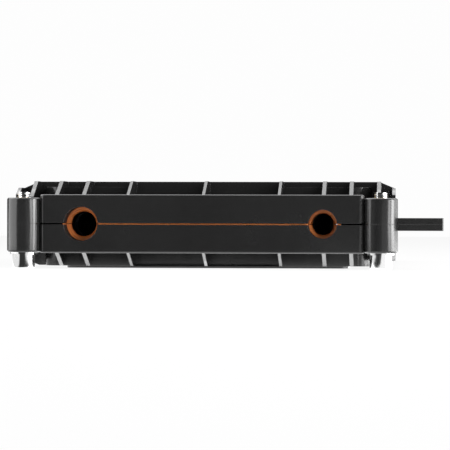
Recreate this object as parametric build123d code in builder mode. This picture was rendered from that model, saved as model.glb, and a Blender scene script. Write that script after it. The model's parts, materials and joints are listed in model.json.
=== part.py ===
from build123d import *
import os

os.makedirs("parts", exist_ok=True)

# A flat in-line fibre splice closure: two ribbed plastic shells bolted together round a tray stack.
# Millimetres. X runs across the closure, Y along it, Z up, and the origin is the middle of the base pad.
# Heights called "rise" are measured from the parting plane outwards, up in the cover and down in the base.

# A "setback" is measured along Y from the end of the closure, and an "inset" along X from the flange's edge.

# Shell outline
half_length = 180.0
flange_half_width = 112.5
flange_rise = 8.0
block_inset = 18.1
block_corner = 3.0
block_edge = 1.0
ledge_rise = 17.0
dome_inset = 14.5
dome_outer_setback = 42.0
dome_middle_setback = 60.0
dome_corner = 10.0
parting_relief = 0.5

# Heights
pad_height = 1.3
base_rise = 25.0
cover_skin_rise = 22.0
cover_rib_rise = 25.5
cover_wall = 3.0
base_floor = 3.5

# Chamber and pad
side_wall = 6.0
end_wall = 3.0
low_chamber_setback = 40.0
low_chamber_rise = 14.0
pad_inset = 28.0
pad_setback = 43.0
pad_corner = 6.0

# Ribs and webs
middle_rib_place = 44.5
middle_rib_thickness = 1.7
outer_rib_insets = (41.9, 25.9)
outer_rib_thickness = 2.3
rib_toe_setback = 17.5
rib_heel_setback = 39.7
rib_root = 1.0
corner_rib_inset = 9.8
corner_rib_thickness = 2.3
corner_rib_toe_setback = 25.0
corner_rib_heel_setback = 45.0
corner_rib_step_rise = 16.0
edge_rib_thickness = 2.0
edge_rib_rise = 21.5
edge_rib_toe_setback = 28.0
edge_rib_heel_setback = 39.0
edge_rib_step_rise = 17.3
web_slope_inset = 9.5
web_setback = 61.0
web_count = 10
web_thickness = 2.0

# Bolts, bosses and lugs
boss_inset = 8.5
boss_radius = 9.8
boss_edge = 1.2
cover_boss_rise = 15.1
base_boss_rise = 16.7
corner_bolt_setback = 4.0
bolt_diameter = 8.0
bolt_clearance = 0.3
thread_clearance = 0.05
bolt_tip_rise = 18.4
bolt_tip_chamfer = 0.8
bolt_head_diameter = 13.0
bolt_head_height = 8.0
bolt_head_edge = 0.7
hex_across_flats = 6.0
hex_depth = 4.0
washer_diameter = 16.0
washer_thickness = 1.1
wrench_clearance = 0.5
insert_diameter = 11.5
insert_start_rise = 1.0
lug_length = 27.7
lug_setback = 5.6
lug_width = 16.0
lug_thickness = 3.7
lug_corner = 1.0
lug_hole_diameter = 8.5
lug_hole_inset = 10.2

# Ports, end seals and side gaskets
port_inset = 42.2
large_port_radius = 10.0
small_port_radius = 8.4
large_cable_radius = 7.3
small_cable_radius = 6.3
seal_setback = 15.5
seal_length = 18.5
seal_inset = 31.5
seal_rise = 13.0
seal_seat_clearance = 0.1
seal_parting_clearance = 0.15
seal_lip_setback = 1.7
seal_lip_top = 0.2
seal_lip_gap = 0.3
seal_lip_bore_clearance = 0.3
seal_funnel_depth = 1.2
seal_funnel_rim = 1.5
gasket_setback = 25.0
gasket_corner = 5.0
groove_width = 2.8
groove_depth = 1.8
gasket_width = 2.6
gasket_sink = 0.3

# Tray stack
tray_channel = 20.0
tray_front_setback = 90.0
tray_wall = 1.5
tray_floor = 1.5
tray_height = 9.0
tray_corner = 15.0
tray_gap = 0.3
lower_tray_bottom = 21.0
lower_axis_setback = 80.0
upper_axis_setback = 72.0
hinge_setback = 4.0
hinge_pin_diameter = 3.0
hinge_clearance = 0.05
knuckle_radius = 2.5
knuckle_place = 20.0
knuckle_length = 12.0
hub_radius = 19.0
hub_wall = 1.5
hub_rise = 5.5
hub_setback = 31.0
hub_split = 8.0
tab_width = 8.0
tab_reach = 6.0
tab_thickness = 1.0
entry_width = 14.0
entry_inset = 20.0
lid_thickness = 1.2
lid_margin = 0.4
lid_rib_height = 0.8
finger_notch = 9.0
post_inset = 12.0
post_setback = 10.0
post_radius = 4.0
post_gap = 0.2

# Splice holders and sleeves
sleeve_count = 12
sleeve_pitch = 3.6
sleeve_diameter = 3.0
sleeve_length = 60.0
sleeve_clearance = 0.05
holder_length = 36.0
holder_margin = 2.2
holder_height = 3.4

# Hinge bracket
bracket_thickness = 2.0
bracket_half_width = 30.0
bracket_toe = 8.0
cheek_front_margin = 2.4
cheek_step = 1.0
cheek_cap = 2.8
bracket_screw_place = 18.0

# Cable clamps, strength clamps and small screws
clamp_setback = 52.0
clamp_length = 10.0
clamp_half_width = 17.0
clamp_hold_clearance = 0.1
strap_thickness = 2.0
strap_ear_thickness = 3.0
clamp_split = 0.6
clamp_screw_offset = 13.2
small_screw_diameter = 3.0
small_head_diameter = 5.6
small_head_height = 2.4
small_screw_depth = 2.6
clamp_screw_length = 9.0
slot_width = 0.9
slot_depth = 1.0
strength_half_width = 10.0
strength_length = 12.0
strength_height = 14.0
strength_setback = 51.0
strength_slot_width = 6.0
strength_slot_depth = 7.0
grub_diameter = 5.0
grub_length = 8.0
grub_stand = 3.0

# Places that follow from the sizes above
parting_z = pad_height + base_rise
block_half_width = flange_half_width - block_inset
dome_half_width = flange_half_width - dome_inset
dome_outer_end = half_length - dome_outer_setback
dome_middle_end = half_length - dome_middle_setback
chamber_half_width = dome_half_width - side_wall
low_chamber_end = half_length - low_chamber_setback
pad_half_width = flange_half_width - pad_inset
pad_half_length = half_length - pad_setback
outer_rib_places = tuple(flange_half_width - inset for inset in outer_rib_insets)
rib_toe = half_length - rib_toe_setback
rib_heel = half_length - rib_heel_setback
corner_rib_place = flange_half_width - corner_rib_inset
corner_rib_toe = half_length - corner_rib_toe_setback
corner_rib_heel = half_length - corner_rib_heel_setback
edge_rib_toe = half_length - edge_rib_toe_setback
edge_rib_heel = half_length - edge_rib_heel_setback
web_slope_start = flange_half_width - web_slope_inset
web_first = half_length - web_setback
web_pitch = 2 * web_first / (web_count - 1)
middle_bolt_place = 2 * web_pitch
boss_place = flange_half_width - boss_inset
corner_bolt_place = half_length - corner_bolt_setback
lug_reach = flange_half_width + lug_length
lug_hole_place = lug_reach - lug_hole_inset
lug_centre_y = half_length - lug_setback - lug_width / 2
port_place = flange_half_width - port_inset
seal_front = half_length - seal_setback
seal_back = seal_front - seal_length
seal_half_width = flange_half_width - seal_inset
seal_lip_front = half_length - seal_lip_setback
gasket_place = dome_half_width - side_wall / 2
gasket_end = half_length - gasket_setback
tray_half_width = chamber_half_width - tray_channel
tray_front = tray_front_setback - half_length
lower_axis_y = half_length - lower_axis_setback
upper_axis_y = half_length - upper_axis_setback
entry_place = tray_half_width - entry_inset
post_place = (tray_half_width - post_inset, tray_front + post_setback)
bracket_front = lower_axis_y - bracket_toe
bracket_back = upper_axis_y + bracket_toe
clamp_place = half_length - clamp_setback
strength_place = half_length - strength_setback
floor_z = parting_z - base_rise + base_floor
step_z = parting_z - low_chamber_rise
upper_tray_bottom = lower_tray_bottom + tray_height + tray_gap
lower_axis_z = lower_tray_bottom + knuckle_radius
upper_axis_z = upper_tray_bottom + knuckle_radius
bolt_places = [
    (side * boss_place, along)
    for side in (-1, 1)
    for along in (-corner_bolt_place, -middle_bolt_place, middle_bolt_place, corner_bolt_place)
]
ports = (
    (-port_place, large_port_radius, large_cable_radius),
    (port_place, small_port_radius, small_cable_radius),
)
up_face = Plane(origin=(0, 0, parting_z), x_dir=(1, 0, 0), z_dir=(0, 0, 1))
down_face = Plane(origin=(0, 0, parting_z), x_dir=(1, 0, 0), z_dir=(0, 0, -1))


def cross_plane(face, along):
    """A plane across the closure at a place along it, with its own Y pointing out of the shell."""
    outward = face.z_dir.Z
    return Plane(origin=(0, along, parting_z), x_dir=(1, 0, 0), z_dir=(0, -outward, 0))


def length_plane(face, across):
    """A plane along the closure at a place across it, with its own Y pointing out of the shell."""
    outward = face.z_dir.Z
    return Plane(origin=(across, 0, parting_z), x_dir=(0, 1, 0), z_dir=(outward, 0, 0))


def both_sides(places):
    """Each place with its mirror image."""
    return [side * place for place in places for side in (-1, 1)]


def stepped_outline(half_width, outer_end, step_place, middle_end):
    """The corners of a rectangle whose two ends stand further in between the middle ribs."""
    return [
        (-half_width, -outer_end), (-step_place, -outer_end), (-step_place, -middle_end),
        (step_place, -middle_end), (step_place, -outer_end), (half_width, -outer_end),
        (half_width, outer_end), (step_place, outer_end), (step_place, middle_end),
        (-step_place, middle_end), (-step_place, outer_end), (-half_width, outer_end),
    ]


def rib_profile(toe, toe_rise, step_rise, heel, top_rise):
    """A long rib seen from the side, with both ends sloping down towards the end walls."""
    return [
        (-toe, toe_rise), (-toe, step_rise), (-heel, top_rise),
        (heel, top_rise), (toe, step_rise), (toe, toe_rise),
    ]


def shell_blank(face, boss_rise, skin_rise, rib_rise, corner_ribs):
    """One shell before its cavity and holes are cut: bosses, block, dome, flange, ribs, webs and lugs."""
    out = Axis((0, 0, 0), face.z_dir)
    with BuildPart() as blank:
        with BuildSketch(face):
            with Locations(*bolt_places):
                Circle(boss_radius)
        extrude(amount=boss_rise)
        fillet(blank.edges().group_by(out)[-1], boss_edge)
        with BuildPart(mode=Mode.PRIVATE) as block:
            with BuildSketch(face) as block_outline:
                Rectangle(2 * block_half_width, 2 * half_length)
                fillet(block_outline.vertices(), block_corner)
            extrude(amount=ledge_rise)
            fillet(block.edges().group_by(out)[-1], block_edge)
        add(block.part)
        with BuildSketch(face):
            Rectangle(2 * flange_half_width, 2 * corner_bolt_place)
        extrude(amount=flange_rise)
        with BuildSketch(face) as dome:
            with BuildLine():
                Polyline(
                    *stepped_outline(dome_half_width, dome_outer_end, middle_rib_place, dome_middle_end),
                    close=True,
                )
            make_face()
            fillet(dome.vertices().filter_by(lambda v: abs(v.X) > dome_half_width - 1), dome_corner)
        extrude(amount=skin_rise)
        ribs = (
            ((-middle_rib_place, 0, middle_rib_place), middle_rib_thickness),
            (both_sides(outer_rib_places), outer_rib_thickness),
        )
        for places, thickness in ribs:
            for across in places:
                corners = rib_profile(rib_toe, ledge_rise - rib_root, ledge_rise, rib_heel, rib_rise)
                with BuildSketch(length_plane(face, across)):
                    with BuildLine():
                        Polyline(*corners, close=True)
                    make_face()
                extrude(amount=thickness / 2, both=True, clean=False)
        for across in both_sides((flange_half_width - edge_rib_thickness / 2,)):
            corners = rib_profile(
                edge_rib_toe, flange_rise - rib_root, edge_rib_step_rise, edge_rib_heel, edge_rib_rise
            )
            with BuildSketch(length_plane(face, across)):
                with BuildLine():
                    Polyline(*corners, close=True)
                make_face()
            extrude(amount=edge_rib_thickness / 2, both=True, clean=False)
        if corner_ribs:
            for across in both_sides((corner_rib_place,)):
                for end in (-1, 1):
                    with BuildSketch(length_plane(face, across)):
                        with BuildLine():
                            Polyline(
                                (end * corner_rib_toe, flange_rise - rib_root),
                                (end * corner_rib_toe, corner_rib_step_rise),
                                (end * corner_rib_heel, rib_rise),
                                (end * web_first, rib_rise),
                                (end * web_first, flange_rise - rib_root),
                                close=True,
                            )
                        make_face()
                    extrude(amount=corner_rib_thickness / 2, both=True, clean=False)
        for index in range(web_count):
            with BuildSketch(cross_plane(face, -web_first + index * web_pitch)):
                with BuildLine():
                    Polyline(
                        (-flange_half_width, flange_rise - rib_root), (-flange_half_width, edge_rib_rise),
                        (-web_slope_start, rib_rise), (web_slope_start, rib_rise),
                        (flange_half_width, edge_rib_rise), (flange_half_width, flange_rise - rib_root),
                        close=True,
                    )
                make_face()
            extrude(amount=web_thickness / 2, both=True, clean=False)
        for end in (-1, 1):
            with BuildSketch(face) as lug:
                with Locations(((boss_place + lug_reach) / 2, end * lug_centre_y)):
                    Rectangle(lug_reach - boss_place, lug_width)
                fillet(lug.vertices().group_by(Axis.X)[-1], lug_corner)
                with Locations((lug_hole_place, end * lug_centre_y)):
                    Circle(lug_hole_diameter / 2, mode=Mode.SUBTRACT)
            extrude(amount=lug_thickness)
    return blank.part


def shell_cuts(face, inner_rise):
    """What is cut from a shell: chamber, seal seats, port bores and the relief behind each end face."""
    inner_step = middle_rib_place + end_wall
    with BuildPart() as cuts:
        with BuildSketch(face):
            Rectangle(2 * chamber_half_width, 2 * low_chamber_end)
        extrude(amount=low_chamber_rise)
        with BuildSketch(face):
            with BuildLine():
                Polyline(
                    *stepped_outline(
                        chamber_half_width, dome_outer_end - end_wall, inner_step, dome_middle_end - end_wall
                    ),
                    close=True,
                )
            make_face()
        extrude(amount=inner_rise)
        with BuildSketch(face):
            with Locations(*[(0, end * (seal_front + seal_back) / 2) for end in (-1, 1)]):
                Rectangle(2 * seal_half_width, seal_front - seal_back)
        extrude(amount=seal_rise)
        with BuildSketch(face):
            with Locations(*[(0, end * (seal_front + half_length) / 2) for end in (-1, 1)]):
                Rectangle(2 * block_half_width, half_length - seal_front)
        extrude(amount=parting_relief)
        for across, bore, _ in ports:
            with BuildSketch(Plane.XZ):
                with Locations((across, parting_z)):
                    Circle(bore)
            extrude(amount=half_length, both=True)
    return cuts.part


def base_shell():
    """The lower shell, with its pad, gasket groove, tray posts and screw holes."""
    blank = shell_blank(down_face, base_boss_rise, base_rise, base_rise, False)
    cuts = shell_cuts(down_face, base_rise - base_floor)
    with BuildPart() as shell:
        add(blank)
        with BuildSketch(down_face.offset(base_rise)) as pad:
            Rectangle(2 * pad_half_width, 2 * pad_half_length)
            fillet(pad.vertices(), pad_corner)
        extrude(amount=pad_height)
        add(cuts, mode=Mode.SUBTRACT)
        with BuildSketch(down_face):
            with Locations(*bolt_places):
                Circle(bolt_diameter / 2 + bolt_clearance)
        extrude(amount=base_boss_rise, mode=Mode.SUBTRACT)
        with BuildSketch(down_face.offset(base_boss_rise)):
            for across, along in bolt_places:
                outward = 1 if across > 0 else -1
                with Locations((across, along)):
                    Circle(washer_diameter / 2 + wrench_clearance)
                with Locations((across + outward * washer_diameter / 2, along)):
                    Rectangle(washer_diameter, washer_diameter + 2 * wrench_clearance)
        extrude(amount=base_rise - base_boss_rise, mode=Mode.SUBTRACT)
        add(gasket_strip(groove_width, groove_depth), mode=Mode.SUBTRACT)
        with BuildSketch(Plane.XY.offset(floor_z)):
            with Locations(*[(side * post_place[0], post_place[1]) for side in (-1, 1)]):
                Circle(post_radius)
        extrude(amount=lower_tray_bottom - post_gap - floor_z)
        with BuildSketch(Plane.XY.offset(floor_z)):
            with Locations(*bracket_screws_at()):
                Circle(small_screw_diameter / 2)
        extrude(amount=-small_screw_depth, mode=Mode.SUBTRACT)
    return shell.part


def cover_shell():
    """The upper shell, with its insert pockets and bolt holes."""
    blank = shell_blank(up_face, cover_boss_rise, cover_skin_rise, cover_rib_rise, True)
    cuts = shell_cuts(up_face, cover_skin_rise - cover_wall)
    with BuildPart() as shell:
        add(blank)
        add(cuts, mode=Mode.SUBTRACT)
        with BuildSketch(up_face):
            with Locations(*bolt_places):
                Circle(bolt_diameter / 2 + bolt_clearance)
        extrude(amount=cover_boss_rise, mode=Mode.SUBTRACT)
        with BuildSketch(up_face.offset(insert_start_rise)):
            with Locations(*bolt_places):
                Circle(insert_diameter / 2)
        extrude(amount=cover_boss_rise - insert_start_rise, mode=Mode.SUBTRACT)
    return shell.part


def gasket_strip(width, depth, sink=0.0):
    """A side gasket or its groove on both sides, from a sink below the parting plane down to a depth."""
    with BuildPart() as strip:
        for side in (-1, 1):
            with BuildSketch(down_face.offset(sink)):
                with BuildLine():
                    FilletPolyline(
                        (side * seal_half_width, -gasket_end), (side * gasket_place, -gasket_end),
                        (side * gasket_place, gasket_end), (side * seal_half_width, gasket_end),
                        radius=gasket_corner,
                    )
                trace(line_width=width)
            extrude(amount=depth - sink)
    return strip.part


def end_seal(end, face, has_lip):
    """One half of an end seal, a rubber block with half a cable bore for each port."""
    margin = seal_seat_clearance
    with BuildPart() as seal:
        with BuildSketch(face.offset(seal_parting_clearance)):
            with Locations((0, end * face.z_dir.Z * (seal_front + seal_back) / 2)):
                Rectangle(2 * (seal_half_width - margin), seal_front - seal_back - 2 * margin)
        extrude(amount=seal_rise - margin - seal_parting_clearance)
        if has_lip:
            lip_steps = (
                (seal_front - 2 * margin, -seal_parting_clearance),
                (seal_front + seal_lip_gap, seal_lip_top),
            )
            for lip_back, lip_top in lip_steps:
                with BuildSketch(Plane.XY.offset(parting_z - parting_relief)):
                    with Locations((0, end * (seal_lip_front + lip_back) / 2)):
                        Rectangle(2 * (seal_half_width - margin), seal_lip_front - lip_back)
                extrude(amount=parting_relief + lip_top)
        for across, bore, cable in ports:
            with BuildSketch(Plane.XZ.offset(-end * seal_front)):
                with Locations((across, parting_z)):
                    Circle(bore + seal_lip_bore_clearance)
            extrude(amount=-end * (half_length - seal_front), mode=Mode.SUBTRACT)
            with BuildSketch(Plane.XZ):
                with Locations((across, parting_z)):
                    Circle(cable)
            extrude(amount=half_length, both=True, mode=Mode.SUBTRACT)
            mouth = Plane(
                origin=(across, end * (seal_front - margin), parting_z), x_dir=(1, 0, 0), z_dir=(0, -end, 0)
            )
            with Locations(mouth.location):
                Cone(
                    bore - seal_funnel_rim, cable, seal_funnel_depth,
                    align=(Align.CENTER, Align.CENTER, Align.MIN), mode=Mode.SUBTRACT,
                )
    return seal.part


def cover_bolt(place):
    """A captive cap screw, head down, with its plain core; the thread is drawn on the finished model."""
    head_bottom = parting_z - base_boss_rise - washer_thickness - bolt_head_height
    with BuildPart() as bolt:
        with BuildSketch(Plane.XY.offset(head_bottom)):
            with Locations(place):
                Circle(bolt_head_diameter / 2)
        extrude(amount=bolt_head_height)
        fillet(bolt.edges().group_by(Axis.Z)[0], bolt_head_edge)
        with BuildSketch(Plane.XY.offset(head_bottom + bolt_head_height)):
            with Locations(place):
                Circle(bolt_diameter / 2)
        extrude(amount=parting_z + bolt_tip_rise - head_bottom - bolt_head_height)
        chamfer(bolt.edges().group_by(Axis.Z)[-1], bolt_tip_chamfer)
        with BuildSketch(Plane.XY.offset(head_bottom)):
            with Locations(place):
                RegularPolygon(hex_across_flats / 2, 6, major_radius=False)
        extrude(amount=hex_depth, mode=Mode.SUBTRACT)
    return bolt.part


def bolt_washers():
    """One flat washer under each bolt head."""
    with BuildPart() as washers:
        with BuildSketch(down_face.offset(base_boss_rise)):
            with Locations(*bolt_places):
                Circle(washer_diameter / 2)
                Circle(bolt_diameter / 2 + bolt_clearance, mode=Mode.SUBTRACT)
        extrude(amount=washer_thickness)
    return washers.part


def threaded_inserts():
    """One brass insert in each boss of the cover, in which the bolt's thread runs."""
    with BuildPart() as inserts:
        with BuildSketch(up_face.offset(insert_start_rise)):
            with Locations(*bolt_places):
                Circle(insert_diameter / 2)
                Circle(bolt_diameter / 2 + thread_clearance, mode=Mode.SUBTRACT)
        extrude(amount=cover_boss_rise - insert_start_rise)
    return inserts.part


def splice_tray(bottom, axis_y):
    """A tray: floor, rim with cable entries, two fibre hubs with holding tabs, and hinge knuckles."""
    back = axis_y - hinge_setback
    length = back - tray_front
    middle = (back + tray_front) / 2
    hub_place = length / 2 - hub_setback
    floor_top = bottom + tray_floor
    axis_z = bottom + knuckle_radius
    with BuildPart() as tray:
        with BuildSketch(Plane.XY.offset(bottom)) as outline:
            with Locations((0, middle)):
                Rectangle(2 * tray_half_width, length)
            fillet(outline.vertices(), tray_corner)
        extrude(amount=tray_height)
        with BuildSketch(Plane.XY.offset(floor_top)) as inside:
            with Locations((0, middle)):
                Rectangle(2 * (tray_half_width - tray_wall), length - 2 * tray_wall)
            fillet(inside.vertices(), tray_corner - tray_wall)
        extrude(amount=tray_height - tray_floor, mode=Mode.SUBTRACT)
        with BuildSketch(Plane.XY.offset(floor_top)):
            with Locations(*[(side * entry_place, back - tray_wall / 2) for side in (-1, 1)]):
                Rectangle(entry_width, 2 * tray_wall)
        extrude(amount=tray_height - tray_floor, mode=Mode.SUBTRACT)
        for end in (-1, 1):
            with BuildSketch(Plane.XY.offset(floor_top)):
                with Locations((0, middle + end * hub_place)):
                    Circle(hub_radius)
                    Circle(hub_radius - hub_wall, mode=Mode.SUBTRACT)
                    Rectangle(2 * hub_radius, hub_split, mode=Mode.SUBTRACT)
            extrude(amount=hub_rise)
            tab_z = bottom + tray_height - tab_thickness
            with BuildSketch(Plane.XY.offset(tab_z)):
                with Locations(*[
                    (side * (tray_half_width - tray_wall / 2 - tab_reach / 2), middle + end * hub_place)
                    for side in (-1, 1)
                ]):
                    Rectangle(tab_reach + tray_wall, tab_width)
            extrude(amount=tab_thickness)
        for side in (-1, 1):
            with BuildSketch(Plane.YZ.offset(side * knuckle_place)):
                with Locations((axis_y, axis_z)):
                    Circle(knuckle_radius)
                with Locations((axis_y - hinge_setback / 2, axis_z)):
                    Rectangle(hinge_setback, 2 * knuckle_radius)
            extrude(amount=knuckle_length / 2, both=True)
        with BuildSketch(Plane.YZ):
            with Locations((axis_y, axis_z)):
                Circle(hinge_pin_diameter / 2 + hinge_clearance)
        extrude(amount=knuckle_place + knuckle_length, both=True, mode=Mode.SUBTRACT)
    return tray.part


def splice_holder(bottom, axis_y):
    """A soft comb across the tray's middle, with one groove for each splice sleeve."""
    middle = (axis_y - hinge_setback + tray_front) / 2
    width = sleeve_count * sleeve_pitch + 2 * holder_margin
    seat = bottom + tray_floor
    with BuildPart() as holder:
        with BuildSketch(Plane.XY.offset(seat)):
            with Locations((0, middle)):
                Rectangle(width, holder_length)
        extrude(amount=holder_height)
        with BuildSketch(Plane.XZ.offset(-middle)):
            with Locations(*[(place, seat + holder_height) for place in sleeve_places()]):
                Circle(sleeve_diameter / 2 + sleeve_clearance)
        extrude(amount=holder_length, both=True, mode=Mode.SUBTRACT)
    return holder.part


def splice_sleeves(bottom, axis_y):
    """The row of splice protector sleeves in one tray's holder."""
    middle = (axis_y - hinge_setback + tray_front) / 2
    with BuildPart() as sleeves:
        with BuildSketch(Plane.XZ.offset(-middle)):
            with Locations(*[(place, bottom + tray_floor + holder_height) for place in sleeve_places()]):
                Circle(sleeve_diameter / 2)
        extrude(amount=sleeve_length / 2, both=True)
    return sleeves.part


def sleeve_places():
    """The places across the tray of its sleeves."""
    return [(index - (sleeve_count - 1) / 2) * sleeve_pitch for index in range(sleeve_count)]


def tray_lid():
    """The clear lid on the upper tray, a plate with a stiffening rim and two finger notches."""
    back = upper_axis_y - hinge_setback
    length = back - tray_front - 2 * lid_margin
    middle = (back + tray_front) / 2
    half_width = tray_half_width - lid_margin
    with BuildPart() as lid:
        with BuildSketch(Plane.XY.offset(upper_tray_bottom + tray_height)) as outline:
            with Locations((0, middle)):
                Rectangle(2 * half_width, length)
            fillet(outline.vertices(), tray_corner - lid_margin)
            with Locations(*[(side * half_width, middle) for side in (-1, 1)]):
                Circle(finger_notch, mode=Mode.SUBTRACT)
        extrude(amount=lid_thickness)
        with BuildSketch(Plane.XY.offset(upper_tray_bottom + tray_height + lid_thickness)) as rim:
            with Locations((0, middle)):
                Rectangle(2 * half_width - 4 * finger_notch, length - 2 * tray_corner)
                Rectangle(
                    2 * half_width - 4 * finger_notch - 2 * tray_wall,
                    length - 2 * tray_corner - 2 * tray_wall,
                    mode=Mode.SUBTRACT,
                )
        extrude(amount=lid_rib_height)
    return lid.part


def hinge_bracket():
    """A folded steel bracket: a foot on the chamber floor and two stepped cheeks for the hinge pins."""
    foot_top = floor_z + bracket_thickness
    lower_front = lower_axis_y - cheek_front_margin
    upper_front = upper_axis_y - cheek_front_margin
    cheek_outline = (
        (lower_front, floor_z), (lower_front, lower_axis_z + cheek_cap),
        (lower_axis_y + cheek_step, lower_axis_z + cheek_cap),
        (lower_axis_y + cheek_step, upper_tray_bottom - cheek_step),
        (upper_front, upper_tray_bottom - cheek_step),
        (upper_front, upper_axis_z + cheek_cap),
        (bracket_back - cheek_cap, upper_axis_z + cheek_cap),
        (bracket_back, floor_z),
    )
    with BuildPart() as bracket:
        with BuildSketch(Plane.XY.offset(floor_z)):
            with Locations((0, (bracket_front + bracket_back) / 2)):
                Rectangle(2 * bracket_half_width, bracket_back - bracket_front)
        extrude(amount=bracket_thickness)
        for side in (-1, 1):
            cheek_plane = Plane.YZ.offset(side * (bracket_half_width - bracket_thickness / 2))
            with BuildSketch(cheek_plane):
                with BuildLine():
                    Polyline(*cheek_outline, close=True)
                make_face()
            extrude(amount=bracket_thickness / 2, both=True)
        with BuildSketch(Plane.YZ):
            with Locations((lower_axis_y, lower_axis_z), (upper_axis_y, upper_axis_z)):
                Circle(hinge_pin_diameter / 2)
        extrude(amount=bracket_half_width, both=True, mode=Mode.SUBTRACT)
        with BuildSketch(Plane.XY.offset(floor_z)):
            with Locations(*bracket_screws_at()):
                Circle(small_screw_diameter / 2)
        extrude(amount=foot_top - floor_z, mode=Mode.SUBTRACT)
    return bracket.part


def bracket_screws_at():
    """The places of the bracket's two screws."""
    return [(side * bracket_screw_place, (bracket_front + bracket_back) / 2) for side in (-1, 1)]


def hinge_pin(axis_y, axis_z):
    """A plain pin through both cheeks and both knuckles of one tray."""
    with BuildPart() as pin:
        with BuildSketch(Plane.YZ):
            with Locations((axis_y, axis_z)):
                Circle(hinge_pin_diameter / 2)
        extrude(amount=bracket_half_width, both=True)
    return pin.part


def small_screws(places, seat_z, reach):
    """Slotted pan-head screws standing on a seat height and reaching down below it."""
    with BuildPart() as screws:
        with BuildSketch(Plane.XY.offset(seat_z)):
            with Locations(*places):
                Circle(small_head_diameter / 2)
        extrude(amount=small_head_height)
        with BuildSketch(Plane.XY.offset(seat_z - reach)):
            with Locations(*places):
                Circle(small_screw_diameter / 2)
        extrude(amount=reach)
        with BuildSketch(Plane.XY.offset(seat_z + small_head_height - slot_depth)):
            with Locations(*places):
                Rectangle(small_head_diameter, slot_width)
        extrude(amount=slot_depth, mode=Mode.SUBTRACT)
    return screws.part


def clamp_saddle(across, cable, end):
    """The fixed half of a cable clamp, a block on the chamber floor with half a cable bore."""
    top = parting_z - clamp_split / 2
    with BuildPart() as saddle:
        with BuildSketch(Plane.XY.offset(floor_z)):
            with Locations((across, end * clamp_place)):
                Rectangle(2 * clamp_half_width, clamp_length)
        extrude(amount=top - floor_z)
        with BuildSketch(Plane.XZ):
            with Locations((across, parting_z)):
                Circle(cable + clamp_hold_clearance)
        extrude(amount=half_length, both=True, mode=Mode.SUBTRACT)
        with BuildSketch(Plane.XY.offset(top)):
            with Locations(*clamp_screws_at(across, end)):
                Circle(small_screw_diameter / 2)
        extrude(amount=-(clamp_screw_length - strap_ear_thickness), mode=Mode.SUBTRACT)
    return saddle.part


def clamp_strap(across, cable, end):
    """The loose half of a cable clamp, an arched strap with a flat ear at each side."""
    inner = cable + clamp_hold_clearance
    bottom = parting_z + clamp_split / 2
    with BuildPart() as strap:
        with BuildSketch(Plane.XZ.offset(-end * clamp_place)):
            with Locations((across, parting_z)):
                Circle(inner + strap_thickness)
            with Locations((across, bottom + strap_ear_thickness / 2)):
                Rectangle(2 * clamp_half_width, strap_ear_thickness)
            with Locations((across, parting_z)):
                Circle(inner, mode=Mode.SUBTRACT)
            with Locations((across, bottom - clamp_half_width)):
                Rectangle(2 * clamp_half_width, 2 * clamp_half_width, mode=Mode.SUBTRACT)
        extrude(amount=clamp_length / 2, both=True)
        with BuildSketch(Plane.XY.offset(bottom)):
            with Locations(*clamp_screws_at(across, end)):
                Circle(small_screw_diameter / 2)
        extrude(amount=strap_ear_thickness, mode=Mode.SUBTRACT)
    return strap.part


def clamp_screws_at(across, end):
    """The places of one cable clamp's two screws."""
    return [(across + side * clamp_screw_offset, end * clamp_place) for side in (-1, 1)]


def strength_clamp(end):
    """A block with a slot that takes the cables' strength members under its grub screw."""
    with BuildPart() as block:
        with BuildSketch(Plane.XY.offset(step_z)):
            with Locations((0, end * strength_place)):
                Rectangle(2 * strength_half_width, strength_length)
        extrude(amount=strength_height)
        with BuildSketch(Plane.XY.offset(step_z + strength_height - strength_slot_depth)):
            with Locations((0, end * strength_place)):
                Rectangle(strength_slot_width, strength_length)
        extrude(amount=strength_slot_depth, mode=Mode.SUBTRACT)
        with BuildSketch(Plane.YZ.offset(strength_slot_width / 2)):
            with Locations((end * strength_place, strength_screw_z)):
                Circle(grub_diameter / 2)
        extrude(amount=strength_half_width - strength_slot_width / 2, mode=Mode.SUBTRACT)
    return block.part


def strength_screws():
    """The slotted screw of each strength clamp, standing out of the block's side."""
    start = strength_half_width + grub_stand - grub_length
    with BuildPart() as screws:
        with BuildSketch(Plane.YZ.offset(start)):
            with Locations(*[(end * strength_place, strength_screw_z) for end in (-1, 1)]):
                Circle(grub_diameter / 2)
        extrude(amount=grub_length)
        with BuildSketch(Plane.YZ.offset(start + grub_length - slot_depth)):
            with Locations(*[(end * strength_place, strength_screw_z) for end in (-1, 1)]):
                Rectangle(grub_diameter, slot_width)
        extrude(amount=slot_depth, mode=Mode.SUBTRACT)
    return screws.part


strength_screw_z = step_z + strength_height - strength_slot_depth / 2
ends = (("front", -1), ("rear", 1))
trays = (("lower", lower_tray_bottom, lower_axis_y), ("upper", upper_tray_bottom, upper_axis_y))
sides = (("left", -1), ("right", 1))
bolt_rows = (
    ("front", -corner_bolt_place), ("mid_front", -middle_bolt_place),
    ("mid_rear", middle_bolt_place), ("rear", corner_bolt_place),
)

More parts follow.
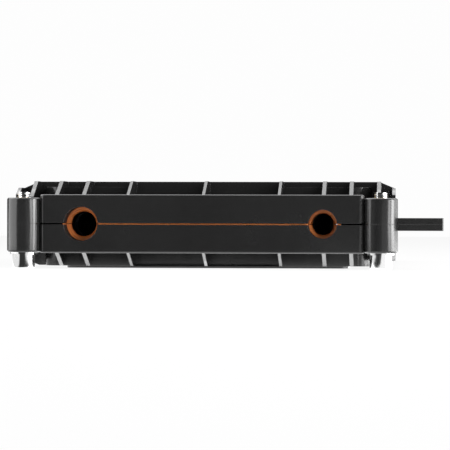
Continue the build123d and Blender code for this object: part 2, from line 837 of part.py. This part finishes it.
pieces = {
    "lower_shell": base_shell(),
    "upper_shell": cover_shell(),
    "side_gaskets": gasket_strip(gasket_width, groove_depth, gasket_sink),
    "bolt_washers": bolt_washers(),
    "threaded_inserts": threaded_inserts(),
    "tray_lid": tray_lid(),
    "hinge_bracket": hinge_bracket(),
    "bracket_screws": small_screws(
        bracket_screws_at(), floor_z + bracket_thickness, bracket_thickness + small_screw_depth
    ),
    "strength_screws": strength_screws(),
}
for end_name, end in ends:
    pieces[f"{end_name}_lower_seal"] = end_seal(end, down_face, True)
    pieces[f"{end_name}_upper_seal"] = end_seal(end, up_face, False)
    pieces[f"{end_name}_strength_clamp"] = strength_clamp(end)
    for (side_name, side), (across, bore, cable) in zip(sides, ports):
        pieces[f"{end_name}_{side_name}_clamp_saddle"] = clamp_saddle(across, cable, end)
        pieces[f"{end_name}_{side_name}_clamp_strap"] = clamp_strap(across, cable, end)
for side_name, side in sides:
    for row_name, along in bolt_rows:
        pieces[f"bolt_{side_name}_{row_name}"] = cover_bolt((side * boss_place, along))
for tray_name, bottom, axis_y in trays:
    pieces[f"{tray_name}_tray"] = splice_tray(bottom, axis_y)
    pieces[f"{tray_name}_splice_holder"] = splice_holder(bottom, axis_y)
    pieces[f"{tray_name}_splice_sleeves"] = splice_sleeves(bottom, axis_y)
    pieces[f"{tray_name}_hinge_pin"] = hinge_pin(axis_y, bottom + knuckle_radius)
clamp_screw_places = [
    place for _, end in ends for across, _, _ in ports for place in clamp_screws_at(across, end)
]
pieces["clamp_screws"] = small_screws(
    clamp_screw_places, parting_z + clamp_split / 2 + strap_ear_thickness, clamp_screw_length
)

for name, piece in pieces.items():
    piece.label = name
    export_step(piece, f"parts/{name}.step")
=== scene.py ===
import json
import math
import bpy
from mathutils import Matrix, Vector

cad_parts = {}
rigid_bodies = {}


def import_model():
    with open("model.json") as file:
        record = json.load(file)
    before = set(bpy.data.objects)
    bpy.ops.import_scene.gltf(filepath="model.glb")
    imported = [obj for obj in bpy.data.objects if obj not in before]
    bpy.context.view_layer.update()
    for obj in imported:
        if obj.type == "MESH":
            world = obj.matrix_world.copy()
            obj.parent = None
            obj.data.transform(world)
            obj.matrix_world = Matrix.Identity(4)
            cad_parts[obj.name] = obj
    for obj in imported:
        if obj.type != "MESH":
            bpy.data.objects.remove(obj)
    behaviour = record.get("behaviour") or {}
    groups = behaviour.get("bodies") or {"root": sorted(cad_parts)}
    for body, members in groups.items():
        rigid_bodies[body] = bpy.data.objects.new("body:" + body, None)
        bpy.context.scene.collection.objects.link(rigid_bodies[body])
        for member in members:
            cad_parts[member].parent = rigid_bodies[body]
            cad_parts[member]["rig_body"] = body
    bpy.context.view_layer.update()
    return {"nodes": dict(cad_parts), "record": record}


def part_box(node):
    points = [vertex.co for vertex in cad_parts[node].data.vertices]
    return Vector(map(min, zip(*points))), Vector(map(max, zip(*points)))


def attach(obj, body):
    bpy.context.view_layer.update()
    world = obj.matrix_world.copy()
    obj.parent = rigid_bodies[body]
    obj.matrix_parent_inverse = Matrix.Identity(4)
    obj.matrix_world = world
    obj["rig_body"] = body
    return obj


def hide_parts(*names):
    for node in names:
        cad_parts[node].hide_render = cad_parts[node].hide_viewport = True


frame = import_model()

nodeBody = {name: node["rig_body"] for name, node in frame["nodes"].items()}
boltNodes = [name for name in sorted(frame["nodes"]) if name.startswith("bolt_") and name != "bolt_washers"]
millimetre = 0.001
weldDistance = 0.000002  # points closer than this are one point


def camelCase(words):
    return words[0] + "".join(word.capitalize() for word in words[1:])


def onlySelect(*objects):  # everything else is deselected first
    bpy.ops.object.select_all(action="DESELECT")
    for item in objects:
        item.select_set(True)
    bpy.context.view_layer.objects.active = objects[-1]


def settle(piece, material, body, slot, *replaced):  # last steps of every finished piece
    onlySelect(piece)
    bpy.ops.object.transform_apply(location=True, rotation=True, scale=True)
    piece.data.materials.clear()
    piece.data.materials.append(material)
    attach(piece, body)
    if replaced:
        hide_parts(*replaced)
    return piece


class Value:  # a shader socket that can be added, multiplied and so on
    def __init__(self, paint, socket):
        self.paint = paint
        self.socket = socket

    def calc(self, operation, *values):
        return self.paint.node("ShaderNodeMath", {"operation": operation}, dict(enumerate(values)))

    def __add__(self, other):
        return self.calc("ADD", self, other)

    def __radd__(self, other):
        return self.calc("ADD", other, self)

    def __sub__(self, other):
        return self.calc("SUBTRACT", self, other)

    def __rsub__(self, other):
        return self.calc("SUBTRACT", other, self)

    def __mul__(self, other):
        return self.calc("MULTIPLY", self, other)

    def __rmul__(self, other):
        return self.calc("MULTIPLY", other, self)

    def __gt__(self, other):
        return self.calc("GREATER_THAN", self, other)

    def __lt__(self, other):
        return self.calc("LESS_THAN", self, other)

    def size(self):
        return self.calc("ABSOLUTE", self)

    def clamped(self):
        return self.paint.node("ShaderNodeClamp", {}, {0: self})


class Paint:  # one material or world and its nodes
    def __init__(self, owner):
        owner.use_nodes = True
        self.owner = owner
        self.tree = owner.node_tree
        self.tree.nodes.clear()

    def node(self, kind, settings, sockets, output=0):
        made = self.tree.nodes.new(kind)
        for name, setting in settings.items():
            if name == "stops":
                ramp = made.color_ramp
                while len(ramp.elements) < len(setting):
                    ramp.elements.new(1.0)
                for element, (place, colour) in zip(ramp.elements, setting):
                    element.position = place
                    element.color = colour
            else:
                setattr(made, name, setting)
        for name, value in sockets.items():
            if isinstance(value, Value):
                self.tree.links.new(value.socket, made.inputs[name])
            else:
                made.inputs[name].default_value = value
        return Value(self, made.outputs[output])

    def place(self):
        return self.node("ShaderNodeTexCoord", {}, {}, "Object")

    def across(self, axis):  # the distance from the origin along one axis
        return self.node("ShaderNodeSeparateXYZ", {}, {0: self.place()}, axis)

    def noise(self, scale, detail=3.0, roughness=0.5, vector=None):
        return self.node("ShaderNodeTexNoise", {}, {
            "Vector": vector or self.place(), "Scale": scale, "Detail": detail, "Roughness": roughness})

    def stretched(self, x, y, z):
        return self.node("ShaderNodeMapping", {}, {"Vector": self.place(), "Scale": (x, y, z)})

    def between(self, factor, first, second):
        return self.node("ShaderNodeMix", {"data_type": "RGBA"}, {0: factor, 6: first, 7: second}, 2)

    def ramp(self, factor, stops):
        return self.node("ShaderNodeValToRGB", {"stops": stops}, {0: factor})

    def bump(self, height, distance, strength, normal=None):
        sockets = {"Height": height, "Distance": distance, "Strength": strength}
        if normal:
            sockets["Normal"] = normal
        return self.node("ShaderNodeBump", {}, sockets)

    def finish(self, shader, kind="ShaderNodeOutputMaterial"):
        end = self.tree.nodes.new(kind)
        self.tree.links.new(shader.socket, end.inputs[0])
        return self.owner


def grey(level, alpha=1.0):
    return (level, level, level, alpha)


def newPaint(name):
    return Paint(bpy.data.materials.new(name))


mouldedPlastic = {
    "darkest": 0.010, "lightest": 0.016, "roughness": 0.17, "roughnessSpread": 0.08,
    "grainScale": 2600.0, "grainDepth": 0.00002, "grainStrength": 0.25,
    "streakScale": 140.0, "streakStretch": 0.12, "cloudScale": 30.0, "cloudSpread": 0.06, "edgeRadius": 0.0003,
}
# the shells are matt inside: reach across, reach along, lowest and highest, and how much rougher
chamberWalls = (0.0923, 0.1795, 0.0095, 0.0430, 0.5)


def makeMouldedPlastic(name, look):
    paint = newPaint(name)
    cloud = paint.noise(look["cloudScale"], 4.0, 0.6)
    streaks = paint.noise(look["streakScale"], 3.0, 0.6, paint.stretched(1.0, 1.0, look["streakStretch"]))
    grain = paint.noise(look["grainScale"], 2.0, 0.5)
    colour = paint.between(cloud, grey(look["darkest"]), grey(look["lightest"]))
    rounded = paint.node("ShaderNodeBevel", {"samples": 6}, {"Radius": look["edgeRadius"]})
    normal = paint.bump(grain + 0.25 * streaks, look["grainDepth"], look["grainStrength"], rounded)
    roughness = look["roughness"] + look["roughnessSpread"] * (streaks - 0.5) + look["cloudSpread"] * (cloud - 0.5)
    if "chamber" in look:
        half, along, low, high, rougher = look["chamber"]
        inside = (half > paint.across(0).size()) * (along > paint.across(1).size())
        inside = inside * (paint.across(2) > low) * (high > paint.across(2))
        roughness = roughness + rougher * inside
    shader = paint.node("ShaderNodeBsdfPrincipled", {}, {
        "Base Color": colour, "Roughness": roughness, "Normal": normal, "IOR": 1.5})
    return paint.finish(shader)


siliconeSeal = {
    "deep": (0.72, 0.175, 0.040, 1.0), "bright": (0.92, 0.290, 0.080, 1.0),
    "roughness": 0.38, "edgeRadius": 0.0010,
    # painted shade: the holes are coloured near-black behind their lips, where shade falls inside them
    "portPlace": 0.0703, "portHeight": 0.0263, "holeReach": 0.0076, "lipEnd": 0.1622,
    "shade": (0.020, 0.010, 0.008, 1.0),
}


def makeSilicone(name, look):
    paint = newPaint(name)
    cloud = paint.noise(60.0, 5.0, 0.6)
    specks = paint.noise(1500.0, 2.0, 0.5)
    colour = paint.between(cloud, look["deep"], look["bright"])
    # painted shade: inside a port hole and behind its lip, the orange gives way to the near-black shade colour
    aside = paint.across(0).size() - look["portPlace"]
    above = paint.across(2) - look["portHeight"]
    inHole = aside * aside + above * above < look["holeReach"] ** 2
    behindLip = paint.across(1).size() < look["lipEnd"]
    colour = paint.between(inHole * behindLip, colour, look["shade"])
    rounded = paint.node("ShaderNodeBevel", {"samples": 6}, {"Radius": look["edgeRadius"]})
    normal = paint.bump(specks + cloud, 0.00004, 0.4, rounded)
    roughness = look["roughness"] + 0.2 * (specks - 0.5)
    shader = paint.node("ShaderNodeBsdfPrincipled", {}, {
        "Base Color": colour, "Roughness": roughness, "Normal": normal, "IOR": 1.42})
    return paint.finish(shader)


def makeMetal(name, dark, light, roughness, brushing, stretch):
    paint = newPaint(name)
    lines = paint.noise(brushing, 4.0, 0.65, paint.stretched(*stretch))
    marks = paint.noise(220.0, 5.0, 0.7)
    colour = paint.between(lines * 0.6 + marks * 0.4, dark, light)
    finish = roughness + 0.04 * (lines - 0.5) + 0.05 * (marks - 0.5)
    normal = paint.bump(lines, 0.00001, 0.15)
    shader = paint.node("ShaderNodeBsdfPrincipled", {}, {
        "Base Color": colour, "Metallic": 1.0, "Roughness": finish, "Normal": normal})
    return paint.finish(shader)


def makeRubber(name, dark, light, roughness):
    paint = newPaint(name)
    cloud = paint.noise(90.0, 5.0, 0.6)
    grain = paint.noise(3000.0, 2.0, 0.5)
    shader = paint.node("ShaderNodeBsdfPrincipled", {}, {
        "Base Color": paint.between(cloud, dark, light),
        "Roughness": roughness + 0.15 * (grain - 0.5),
        "Normal": paint.bump(grain, 0.00004, 0.4)})
    return paint.finish(shader)


def makeClear(name, tint, roughness):
    paint = newPaint(name)
    marks = paint.noise(160.0, 5.0, 0.7)
    wave = paint.noise(14.0, 2.0, 0.5)
    shader = paint.node("ShaderNodeBsdfPrincipled", {}, {
        "Base Color": paint.between(marks, tint, grey(0.95)),
        "Roughness": roughness + 0.12 * marks, "Alpha": 0.16 + 0.14 * marks,
        "Normal": paint.bump(wave, 0.0003, 0.3), "IOR": 1.5})
    return paint.finish(shader)


shellPlastic = makeMouldedPlastic("mouldedBlackPlastic", {**mouldedPlastic, "chamber": chamberWalls})
orangeSilicone = makeSilicone("orangeSilicone", siliconeSeal)
blackRubber = makeRubber("blackRubber", grey(0.012), grey(0.026), 0.6)
combRubber = makeRubber("combRubber", grey(0.05), grey(0.085), 0.55)
brightSteel = makeMetal("brightSteel", grey(0.62), grey(0.86), 0.06, 500.0, (1.0, 1.0, 0.08))
bracketSteel = makeMetal("bracketSteel", grey(0.38), grey(0.60), 0.30, 700.0, (0.1, 1.0, 1.0))
warmBrass = makeMetal("warmBrass", (0.50, 0.33, 0.12, 1.0), (0.78, 0.57, 0.26, 1.0), 0.26, 600.0, (1.0, 1.0, 0.1))
trayPlastic = makeMouldedPlastic("trayPlastic", {
    **mouldedPlastic, "darkest": 0.016, "lightest": 0.024, "roughness": 0.36, "edgeRadius": 0.0003})
clampPlastic = makeMouldedPlastic("clampPlastic", {
    **mouldedPlastic, "darkest": 0.03, "lightest": 0.05, "roughness": 0.42, "edgeRadius": 0.0003})
clearPlastic = makeClear("clearPlastic", (0.80, 0.86, 0.90, 1.0), 0.06)
sleevePlastic = makeClear("sleevePlastic", (0.85, 0.88, 0.92, 1.0), 0.12)
print("materials made")


def dressNode(nodeName, pieceName, material, slot, smoothAngle=32.0):
    piece = bpy.data.objects.new(pieceName, frame["nodes"][nodeName].data.copy())
    bpy.context.scene.collection.objects.link(piece)
    onlySelect(piece)
    bpy.ops.mesh.customdata_custom_splitnormals_clear()
    bpy.ops.object.mode_set(mode="EDIT")
    bpy.ops.mesh.select_all(action="SELECT")
    bpy.ops.mesh.remove_doubles(threshold=weldDistance)
    bpy.ops.mesh.dissolve_limited(angle_limit=math.radians(0.3))
    bpy.ops.object.mode_set(mode="OBJECT")
    bpy.ops.object.shade_smooth_by_angle(angle=math.radians(smoothAngle))
    flatten = piece.modifiers.new("flatten", "WEIGHTED_NORMAL")
    flatten.mode = "FACE_AREA"
    flatten.keep_sharp = True
    bpy.ops.object.modifier_apply(modifier=flatten.name)
    return settle(piece, material, nodeBody[nodeName], slot, nodeName)


slotOfNode = {entry["node"]: entry["material_slot"] for entry in frame["record"]["subparts"]}
materialOfSlot = {
    "shell_plastic": shellPlastic, "seal_rubber": orangeSilicone, "gasket_rubber": blackRubber,
    "stainless_steel": brightSteel, "bracket_steel": bracketSteel, "brass": warmBrass,
    "tray_plastic": trayPlastic, "clear_plastic": clearPlastic, "holder_rubber": combRubber,
    "sleeve_plastic": sleevePlastic, "clamp_plastic": clampPlastic,
}
for nodeName in sorted(frame["nodes"]):
    if nodeName not in boltNodes:
        slotName = slotOfNode[nodeName]
        dressNode(nodeName, camelCase(nodeName.split("_")) + "Finished", materialOfSlot[slotName], slotName)
print("moulded and cut pieces dressed")


capScrew = {
    "pitch": 1.25 * millimetre, "turns": 21, "crest": 3.97 * millimetre, "root": 3.30 * millimetre,
    "crestFrom": 0.40, "crestTo": 0.475, "rootFrom": 0.875,  # where a tooth changes, in parts of the pitch
    "turnSteps": 32, "turnsCutOff": 1.2, "tipTrim": 0.02 * millimetre,
    "headRadius": 6.48 * millimetre, "headHeight": 8.0 * millimetre, "rimEdge": 0.3 * millimetre,
    "rimInset": 0.4 * millimetre, "knurls": 48, "knurlDepth": 0.02 * millimetre,
    "socketWidth": 6.0 * millimetre, "socketDepth": 4.0 * millimetre,
    "neckSides": 64, "neckEdge": 0.35 * millimetre, "neckOverlap": 0.4 * millimetre, "smoothAngle": 28.0,
}


def makeCapScrew(name, nodeName, size):
    low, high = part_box(nodeName)
    middle = (low + high) / 2
    headTop = low.z + size["headHeight"]
    wall = size["headRadius"] - 0.01 * millimetre  # only the head's outermost points are past this
    # Head: a cylinder with its knurled wall pulled in and its socket pushed in from below
    bpy.ops.object.select_all(action="DESELECT")
    bpy.ops.mesh.primitive_cylinder_add(
        vertices=2 * size["knurls"], radius=size["headRadius"], depth=size["headHeight"],
        end_fill_type="NGON", location=(middle.x, middle.y, low.z + size["headHeight"] / 2))
    head = bpy.context.object
    bpy.ops.object.transform_apply(location=True)
    bpy.ops.object.mode_set(mode="EDIT")
    bpy.ops.mesh.select_mode(type="FACE")
    bpy.ops.mesh.select_all(action="DESELECT")
    bpy.ops.object.mode_set(mode="OBJECT")
    for face in head.data.polygons:
        face.select = face.normal.z < -0.9
    bpy.ops.object.mode_set(mode="EDIT")
    bpy.ops.mesh.inset(thickness=size["rimEdge"])
    bpy.ops.mesh.inset(thickness=size["rimInset"])
    bpy.ops.object.mode_set(mode="OBJECT")
    for vertex in head.data.vertices:
        offset = Vector((vertex.co.x - middle.x, vertex.co.y - middle.y))
        if offset.length > wall:
            if vertex.co.z < headTop - size["headHeight"] / 2:  # the ring at the bottom goes up for a sloped rim
                vertex.co.z += size["rimEdge"]
            turn = round(math.atan2(offset.y, offset.x) / math.pi * size["knurls"])
            if turn % 2:
                offset *= 1 - size["knurlDepth"] / size["headRadius"]
                vertex.co.x = middle.x + offset.x
                vertex.co.y = middle.y + offset.y
    # Socket: a six-sided cutter taken away
    bpy.ops.object.select_all(action="DESELECT")
    bpy.ops.mesh.primitive_cylinder_add(
        vertices=6, radius=size["socketWidth"] / math.sqrt(3), depth=2 * size["socketDepth"],
        location=(middle.x, middle.y, low.z))
    cutter = bpy.context.object
    onlySelect(head)
    socket = head.modifiers.new("socket", "BOOLEAN")
    socket.operation = "DIFFERENCE"
    socket.object = cutter
    socket.solver = "EXACT"
    bpy.ops.object.modifier_apply(modifier=socket.name)
    bpy.data.objects.remove(cutter, do_unlink=True)
    # Thread: one tooth's outline turned into a helix, from below the boss to the tip
    bpy.ops.object.select_all(action="DESELECT")
    bpy.ops.mesh.primitive_plane_add(size=size["pitch"], location=(0, 0, 0))
    shank = bpy.context.object
    start = high.z - size["pitch"] * size["turns"]
    outline = [
        (size["root"], 0.0), (size["crest"], size["crestFrom"]), (size["crest"], size["crestTo"]),
        (size["root"], size["rootFrom"]), (size["root"], 1.0)]
    shank.data.clear_geometry()
    shank.data.from_pydata(
        [(radius, 0.0, part * size["pitch"]) for radius, part in outline],
        [(step, step + 1) for step in range(len(outline) - 1)], [])
    helix = shank.modifiers.new("helix", "SCREW")
    helix.axis = "Z"
    helix.screw_offset = size["pitch"]
    helix.iterations = size["turns"]
    helix.steps = size["turnSteps"]
    helix.render_steps = size["turnSteps"]
    helix.use_merge_vertices = True
    helix.merge_threshold = 0.000001
    helix.use_normal_calculate = True
    onlySelect(shank)
    bpy.ops.object.modifier_apply(modifier=helix.name)
    bpy.ops.object.mode_set(mode="EDIT")
    bpy.ops.mesh.select_all(action="SELECT")
    bpy.ops.mesh.remove_doubles(threshold=weldDistance)
    bpy.ops.transform.translate(value=(middle.x, middle.y, start))
    # the tip is cut level just under the top and closed, and so is the other end
    tip = high.z - size["tipTrim"]
    bpy.ops.mesh.bisect(
        plane_co=(middle.x, middle.y, tip), plane_no=(0, 0, 1), use_fill=True, clear_outer=True)
    bpy.ops.mesh.select_all(action="SELECT")
    threadStart = start + size["turnsCutOff"] * size["pitch"]
    bpy.ops.mesh.bisect(
        plane_co=(middle.x, middle.y, threadStart), plane_no=(0, 0, -1), use_fill=True, clear_outer=True)
    bpy.ops.mesh.select_all(action="SELECT")
    bpy.ops.mesh.normals_make_consistent(inside=False)
    bpy.ops.object.mode_set(mode="OBJECT")
    # Neck: the plain stretch between the head and the thread
    bpy.ops.object.select_all(action="DESELECT")
    neckLength = threadStart - headTop
    bpy.ops.mesh.primitive_cylinder_add(
        vertices=size["neckSides"], radius=size["crest"], depth=neckLength + size["neckOverlap"],
        location=(middle.x, middle.y, headTop + neckLength / 2))
    neck = bpy.context.object
    neckEdge = neck.modifiers.new("neckEdge", "BEVEL")
    neckEdge.width = size["neckEdge"]
    neckEdge.segments = 2
    onlySelect(neck)
    bpy.ops.object.modifier_apply(modifier=neckEdge.name)
    onlySelect(neck, shank, head)
    bpy.ops.object.join()
    head.name = name
    bpy.ops.object.shade_smooth_by_angle(angle=math.radians(size["smoothAngle"]))
    return settle(head, brightSteel, nodeBody[nodeName], "stainless_steel", nodeName)


for nodeName in boltNodes:
    makeCapScrew(camelCase(["capScrew"] + nodeName.split("_")[1:]), nodeName, capScrew)
print("cap screws made")


photoCamera = {
    "place": (0.1125, -1.595, 0.02575), "turn": 3.983, "roll": 0.14, "lens": 196.0, "sensor": 36.0,
}


def makeCamera(look):
    data = bpy.data.cameras.new("photoCamera")
    data.lens = look["lens"]
    data.sensor_width = look["sensor"]
    data.clip_start = 0.01
    camera = bpy.data.objects.new("photoCamera", data)
    bpy.context.scene.collection.objects.link(camera)
    turn = Matrix.Rotation(math.radians(look["turn"]), 4, "Z")
    level = Matrix.Rotation(math.radians(90.0), 4, "X")
    roll = Matrix.Rotation(math.radians(look["roll"]), 4, "Z")
    camera.matrix_world = Matrix.Translation(look["place"]) @ turn @ level @ roll
    bpy.context.scene.camera = camera


studio = {
    "whiteGround": 0.985, "fill": 0.55, "floorSize": 8.0, "floorGlow": 0.9, "floorShine": 2.2, "backdrop": 2.4,
    # what mirrors see at the camera's height: degrees to the right of the camera, and brightness
    "horizon": [
        (-180, 0.06), (-100, 0.04), (-14, 0.04), (-2, 0.40), (4, 0.04), (18, 0.04), (22, 0.9), (40, 1.8),
        (62, 3.2), (76, 4.0), (82, 4.5), (86, 16.0), (105, 16.0), (108, 1.2), (113, 1.2), (116, 9.0),
        (127, 9.0), (131, 0.3), (145, 0.06), (180, 0.06),
    ],
    # the same for the floor, further out than nearFloor
    "floorRing": [
        (-180, 0.04), (-147, 0.04), (-142, 1.05), (-60, 1.05), (-40, 0.04), (18, 0.04), (22, 0.9), (40, 1.8),
        (62, 3.2), (76, 4.0), (82, 4.5), (86, 16.0), (105, 16.0), (108, 1.2), (113, 1.2), (116, 9.0),
        (127, 9.0), (131, 1.3), (165, 1.3), (170, 0.04), (180, 0.04),
    ],
    "horizonHeight": 0.30, "horizonFade": 8.0, "nearFloor": 0.20, "nearFade": 20.0,
}


def seenDirectly(paint, *names):  # 1 for the named kinds of ray
    total = sum(paint.node("ShaderNodeLightPath", {}, {}, name) for name in names)
    return total.clamped()


def shineAround(paint, direction, ring):
    # X and Y change places, so the middle of the ramp is straight ahead (+Y) and its right half is +X
    turned = paint.node("ShaderNodeMapping", {}, {
        "Vector": direction, "Scale": (-1, 1, 1), "Rotation": (0, 0, math.radians(-90))})
    around = paint.node("ShaderNodeTexGradient", {"gradient_type": "RADIAL"}, {"Vector": turned}, 1)
    return paint.ramp(around, [((180 + angle) / 360, grey(shine)) for angle, shine in ring])


def makeWorld(look):
    world = bpy.data.worlds.new("whiteStudio")
    bpy.context.scene.world = world
    paint = Paint(world)
    direction = paint.node("ShaderNodeTexCoord", {}, {}, "Generated")
    level = shineAround(paint, direction, look["horizon"])
    along = paint.node("ShaderNodeSeparateXYZ", {}, {0: direction}, 1)
    up = paint.node("ShaderNodeSeparateXYZ", {}, {0: direction}, 2)
    high = ((up - look["horizonHeight"]) * look["horizonFade"]).clamped()
    backdrop = paint.ramp(along * 0.5 + 0.5, [
        (0.0, grey(0.05)), (0.4, grey(0.4)), (0.62, grey(look["backdrop"]))])
    mirror = paint.between(high, level, backdrop)
    ground = paint.between(seenDirectly(paint, "Is Glossy Ray"), grey(look["fill"]), mirror)
    seen = seenDirectly(paint, "Is Camera Ray", "Is Transmission Ray")
    colour = paint.between(seen, ground, grey(look["whiteGround"]))
    paint.finish(paint.node("ShaderNodeBackground", {}, {"Color": colour}), "ShaderNodeOutputWorld")


def makeFloor(look):
    bpy.ops.object.select_all(action="DESELECT")
    bpy.ops.mesh.primitive_plane_add(size=look["floorSize"], location=(0, 0, 0))
    floor = bpy.context.object
    floor.name = "paleFloor"
    paint = newPaint("paleFloor")
    cloud = paint.noise(3.0, 2.0, 0.5)
    diffuse = paint.node("ShaderNodeBsdfDiffuse", {}, {"Color": paint.between(cloud, grey(0.84), grey(0.88))})
    distance = paint.node("ShaderNodeVectorMath", {"operation": "LENGTH"}, {0: paint.place()}, 1)
    far = ((distance - look["nearFloor"]) * look["nearFade"]).clamped()
    shine = paint.between(far, grey(look["floorShine"]), shineAround(paint, paint.place(), look["floorRing"]))
    mirrored = seenDirectly(paint, "Is Glossy Ray")
    level = paint.between(mirrored, grey(look["whiteGround"]), shine)
    glow = paint.node("ShaderNodeEmission", {}, {"Color": level, "Strength": 1.0})
    seen = seenDirectly(paint, "Is Camera Ray", "Is Transmission Ray")
    glowing = (seen * look["floorGlow"] + mirrored).clamped()
    mixed = paint.node("ShaderNodeMixShader", {}, {0: glowing, 1: diffuse, 2: glow})
    floor.data.materials.append(paint.finish(mixed))


softLamps = {
    "frontStrip": {
        "place": (0.95, -1.15, 0.55), "aim": (-0.05, -0.17, 0.03), "width": 0.40, "height": 1.1, "power": 16.0,
        "mirrored": False},
    "sideBox": {
        "place": (1.35, -0.37, 0.35), "aim": (-0.05, -0.17, 0.03), "width": 0.62, "height": 0.9, "power": 18.0,
        "mirrored": False},
    "leftCard": {
        "place": (-0.185, -0.205, 0.1285), "aim": (0.0, -0.205, 0.1285), "width": 0.13, "height": 0.24,
        "power": 0.28, "mirrored": True},
    "topPanel": {
        "place": (0.0, 0.25, 1.5), "aim": (0.0, 0.0, 0.03), "width": 1.6, "height": 1.6, "power": 12.0,
        "mirrored": True},
}


def makeLamp(name, look):
    data = bpy.data.lights.new(name, "AREA")
    data.shape = "RECTANGLE"
    data.size = look["width"]
    data.size_y = look["height"]
    data.energy = look["power"]
    lamp = bpy.data.objects.new(name, data)
    lamp.visible_camera = False
    lamp.visible_glossy = look["mirrored"]
    bpy.context.scene.collection.objects.link(lamp)
    place = Vector(look["place"])
    lamp.location = place
    lamp.rotation_euler = (Vector(look["aim"]) - place).to_track_quat("-Z", "Y").to_euler()


makeCamera(photoCamera)
makeWorld(studio)
makeFloor(studio)
for lampName, lampLook in softLamps.items():
    makeLamp(lampName, lampLook)
bpy.context.scene.view_settings.view_transform = "Standard"
print("camera, floor and lamps set")
